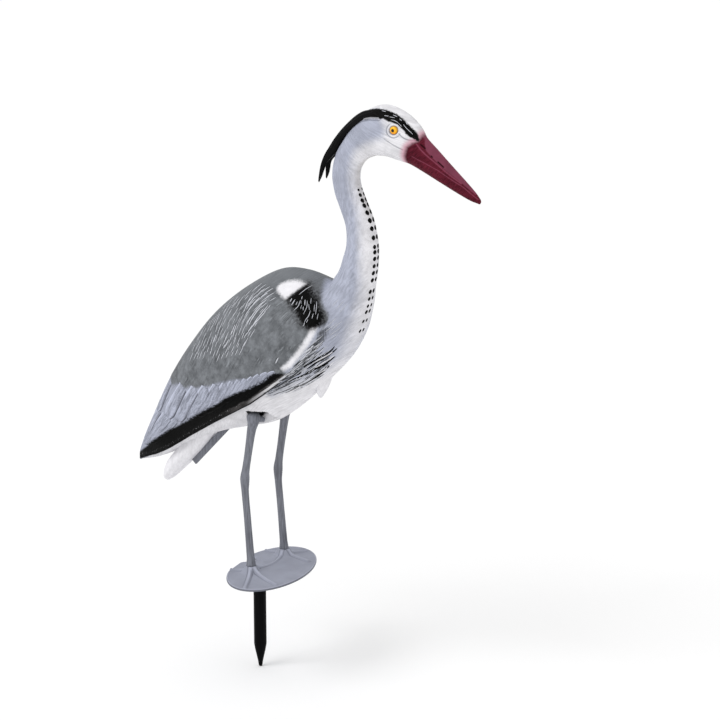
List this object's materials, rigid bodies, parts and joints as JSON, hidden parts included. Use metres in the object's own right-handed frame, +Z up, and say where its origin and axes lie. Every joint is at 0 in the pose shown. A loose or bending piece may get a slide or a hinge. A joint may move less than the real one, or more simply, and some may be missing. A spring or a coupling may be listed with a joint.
{
  "type": "garden heron decoy",
  "caption": "Moulded garden decoy of a standing grey heron on two legs, with an oval foot plate and a spike that is pushed into the ground.",
  "frame": {"origin": "on the ground spike's axis at ground level, where the foot plate's rim rests", "axes": "+Z up, +X the way the bird looks, +Y to the bird's left"},
  "size_m": [0.5491, 0.182, 0.824],
  "materials": {
    "painted_plumage": "satin painted plumage, grey, blue-grey, white and black",
    "black_plume": "glossy black paint",
    "eye_enamel": "orange-yellow enamel with a black pupil",
    "leg_plastic": "slate grey moulded plastic",
    "plate_plastic": "blue-grey moulded plastic",
    "spike_plastic": "black moulded plastic, smooth"
  },
  "bodies": {
    "root": {"heron_body": "painted_plumage", "crest_plumes": "black_plume", "right_eye": "eye_enamel", "left_eye": "eye_enamel", "right_leg": "leg_plastic", "left_leg": "leg_plastic", "foot_plate": "plate_plastic", "ground_spike": "spike_plastic"}
  },
  "joints": []
}
